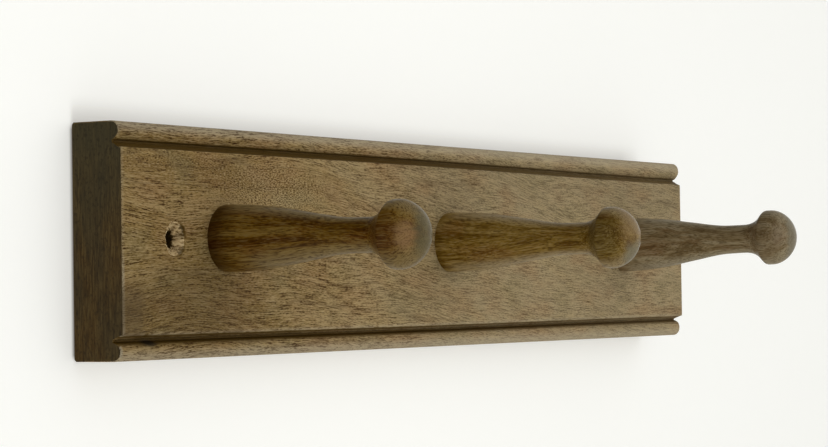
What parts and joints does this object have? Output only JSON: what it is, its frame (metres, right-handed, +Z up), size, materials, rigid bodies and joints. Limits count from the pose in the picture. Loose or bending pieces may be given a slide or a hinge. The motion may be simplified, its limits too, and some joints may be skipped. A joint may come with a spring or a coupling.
{
  "type": "peg rail",
  "caption": "Wall-hung wooden peg rail: a board with a quirked bead along both long edges, carrying a row of turned mushroom pegs for coats and hats.",
  "frame": {"origin": "middle of the board's back face, which lies on the wall", "axes": "as the rail hangs: +X along the rail to the right of someone who faces it, +Z up, +Y into the wall, so the pegs point to -Y"},
  "size_m": [0.472, 0.1152, 0.089],
  "materials": {
    "board_wood": "stained open-grained hardwood, dry satin, worn at the arrises",
    "peg_wood": "stained turned hardwood, satin varnish"
  },
  "bodies": {
    "root": {"backboard": "board_wood", "peg_left": "peg_wood", "peg_middle": "peg_wood", "peg_right": "peg_wood"}
  },
  "joints": []
}
